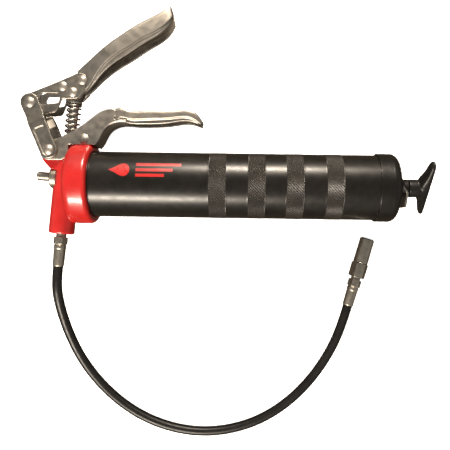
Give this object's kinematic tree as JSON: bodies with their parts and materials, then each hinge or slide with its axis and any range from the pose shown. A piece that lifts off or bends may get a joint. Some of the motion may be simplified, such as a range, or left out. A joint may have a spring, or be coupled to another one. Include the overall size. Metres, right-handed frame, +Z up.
{
  "type": "grease gun",
  "caption": "Lever grease gun lying on its side, with a knurled barrel, red pump head, two hand levers, pull rod with a T-handle, and a whip hose ending in a grease coupler.",
  "frame": {"origin": "middle of the footprint of the gun without its hose, at bench level", "axes": "+X along the barrel from the pump head to the T-handle, +Y from the outlet to the levers, +Z up off the bench"},
  "size_m": [0.3573, 0.3903, 0.0696],
  "materials": {
    "red_paint": "gloss enamel",
    "black_paint": "satin powder coat, knurled bands",
    "cast_handles": "tumbled casting",
    "stamped_steel": "zinc plated stamping",
    "steel_pins": "turned and headed",
    "spring_steel": "drawn wire",
    "plated_fittings": "zinc plated, turned",
    "hose_rubber": "smooth cover",
    "seal_rubber": "moulded",
    "handle_black": "moulded, satin"
  },
  "bodies": {
    "head": {"head_casting": "red_paint", "head_gasket": "seal_rubber", "plunger_packing": "seal_rubber", "packing_nut": "steel_pins", "fixed_handle": "cast_handles", "handle_rivet": "steel_pins", "link_foot_pin": "steel_pins", "plunger_spring": "spring_steel", "outlet_spring": "spring_steel", "loader_body": "plated_fittings", "loader_spring": "spring_steel", "hose_fitting_head": "plated_fittings", "ferrule_head": "plated_fittings", "hose": "hose_rubber", "ferrule_coupler": "plated_fittings", "hose_fitting_coupler": "plated_fittings", "coupler_body": "plated_fittings", "coupler_sleeve": "plated_fittings", "coupler_spring": "spring_steel"},
    "links": {"link_near": "stamped_steel", "link_far": "stamped_steel", "link_head_pin": "steel_pins"},
    "lever": {"lever_handle": "cast_handles", "lever_cheek_near": "stamped_steel", "lever_cheek_far": "stamped_steel", "lever_rivets": "steel_pins", "plunger_pin": "steel_pins"},
    "plunger": {"plunger": "steel_pins", "spring_washer": "stamped_steel"},
    "barrel": {"barrel_tube": "black_paint", "end_cap": "black_paint", "follower_spring": "spring_steel"},
    "follower": {"follower_cup": "seal_rubber", "follower_plate": "stamped_steel"},
    "rod": {"follower_rod": "steel_pins", "follower_nut": "steel_pins", "t_handle": "handle_black", "handle_pin": "steel_pins"},
    "rod_lock": {"rod_lock_plate": "stamped_steel"},
    "outlet_ball": {"outlet_ball": "steel_pins"},
    "loader_ball": {"loader_ball": "steel_pins"},
    "coupler_ball": {"coupler_ball": "steel_pins"},
    "coupler_jaws": {"coupler_jaws": "plated_fittings", "coupler_seal": "seal_rubber"}
  },
  "joints": [
    {"name": "link_swing", "type": "hinge", "parent": "head", "child": "links", "pos_m": [-0.1522, -0.0288, 0.0348], "axis": [0, 0, 1], "range_deg": [0, 4.25]},
    {"name": "lever_pivot", "type": "hinge", "parent": "links", "child": "lever", "pos_m": [-0.17, 0.0124, 0.0348], "axis": [0, 0, -1], "range_deg": [0, 30], "stiffness_Nm_per_rad": 1.2, "springref_deg": -5.73},
    {"name": "plunger_slide", "type": "slide", "parent": "head", "child": "plunger", "axis": [-0.0872, -0.9962, 0], "range_m": [0, 0.0185], "deforming": ["plunger_spring"]},
    {"name": "barrel_slide", "type": "slide", "parent": "head", "child": "barrel", "axis": [1, 0, 0], "range_m": [0, 0.03]},
    {"name": "follower_slide", "type": "slide", "parent": "barrel", "child": "follower", "axis": [1, 0, 0], "range_m": [0, 0.2], "stiffness_N_per_m": 180, "springref_m": -0.05, "deforming": ["follower_spring"]},
    {"name": "handle_spin", "type": "hinge", "parent": "follower", "child": "rod", "pos_m": [-0.1137, -0.0566, 0.0348], "axis": [1, 0, 0], "continuous": true},
    {"name": "rod_lock_tilt", "type": "hinge", "parent": "barrel", "child": "rod_lock", "pos_m": [0.1531, -0.0544, 0.0348], "axis": [0, 0, -1], "range_deg": [0, 5], "stiffness_Nm_per_rad": 0.8},
    {"name": "outlet_ball_slide", "type": "slide", "parent": "head", "child": "outlet_ball", "axis": [-0.0872, -0.9962, 0], "range_m": [0, 0.0015], "stiffness_N_per_m": 400, "deforming": ["outlet_spring"]},
    {"name": "loader_ball_slide", "type": "slide", "parent": "head", "child": "loader_ball", "axis": [0.9962, -0.0872, 0], "range_m": [0, 0.0012], "stiffness_N_per_m": 400, "deforming": ["loader_spring"]},
    {"name": "coupler_ball_slide", "type": "slide", "parent": "head", "child": "coupler_ball", "axis": [0.2721, 0.9623, 0], "range_m": [0, 0.0012]},
    {"name": "coupler_jaw_slide", "type": "slide", "parent": "head", "child": "coupler_jaws", "axis": [-0.2721, -0.9623, 0], "range_m": [0, 0.0015], "stiffness_N_per_m": 2000, "deforming": ["coupler_spring"]}
  ],
  "couplings": [
    {"joint": "link_swing", "follows": "lever_pivot", "ratio": 0.135},
    {"joint": "plunger_slide", "follows": "lever_pivot", "m_per_rad": 0.0346}
  ]
}
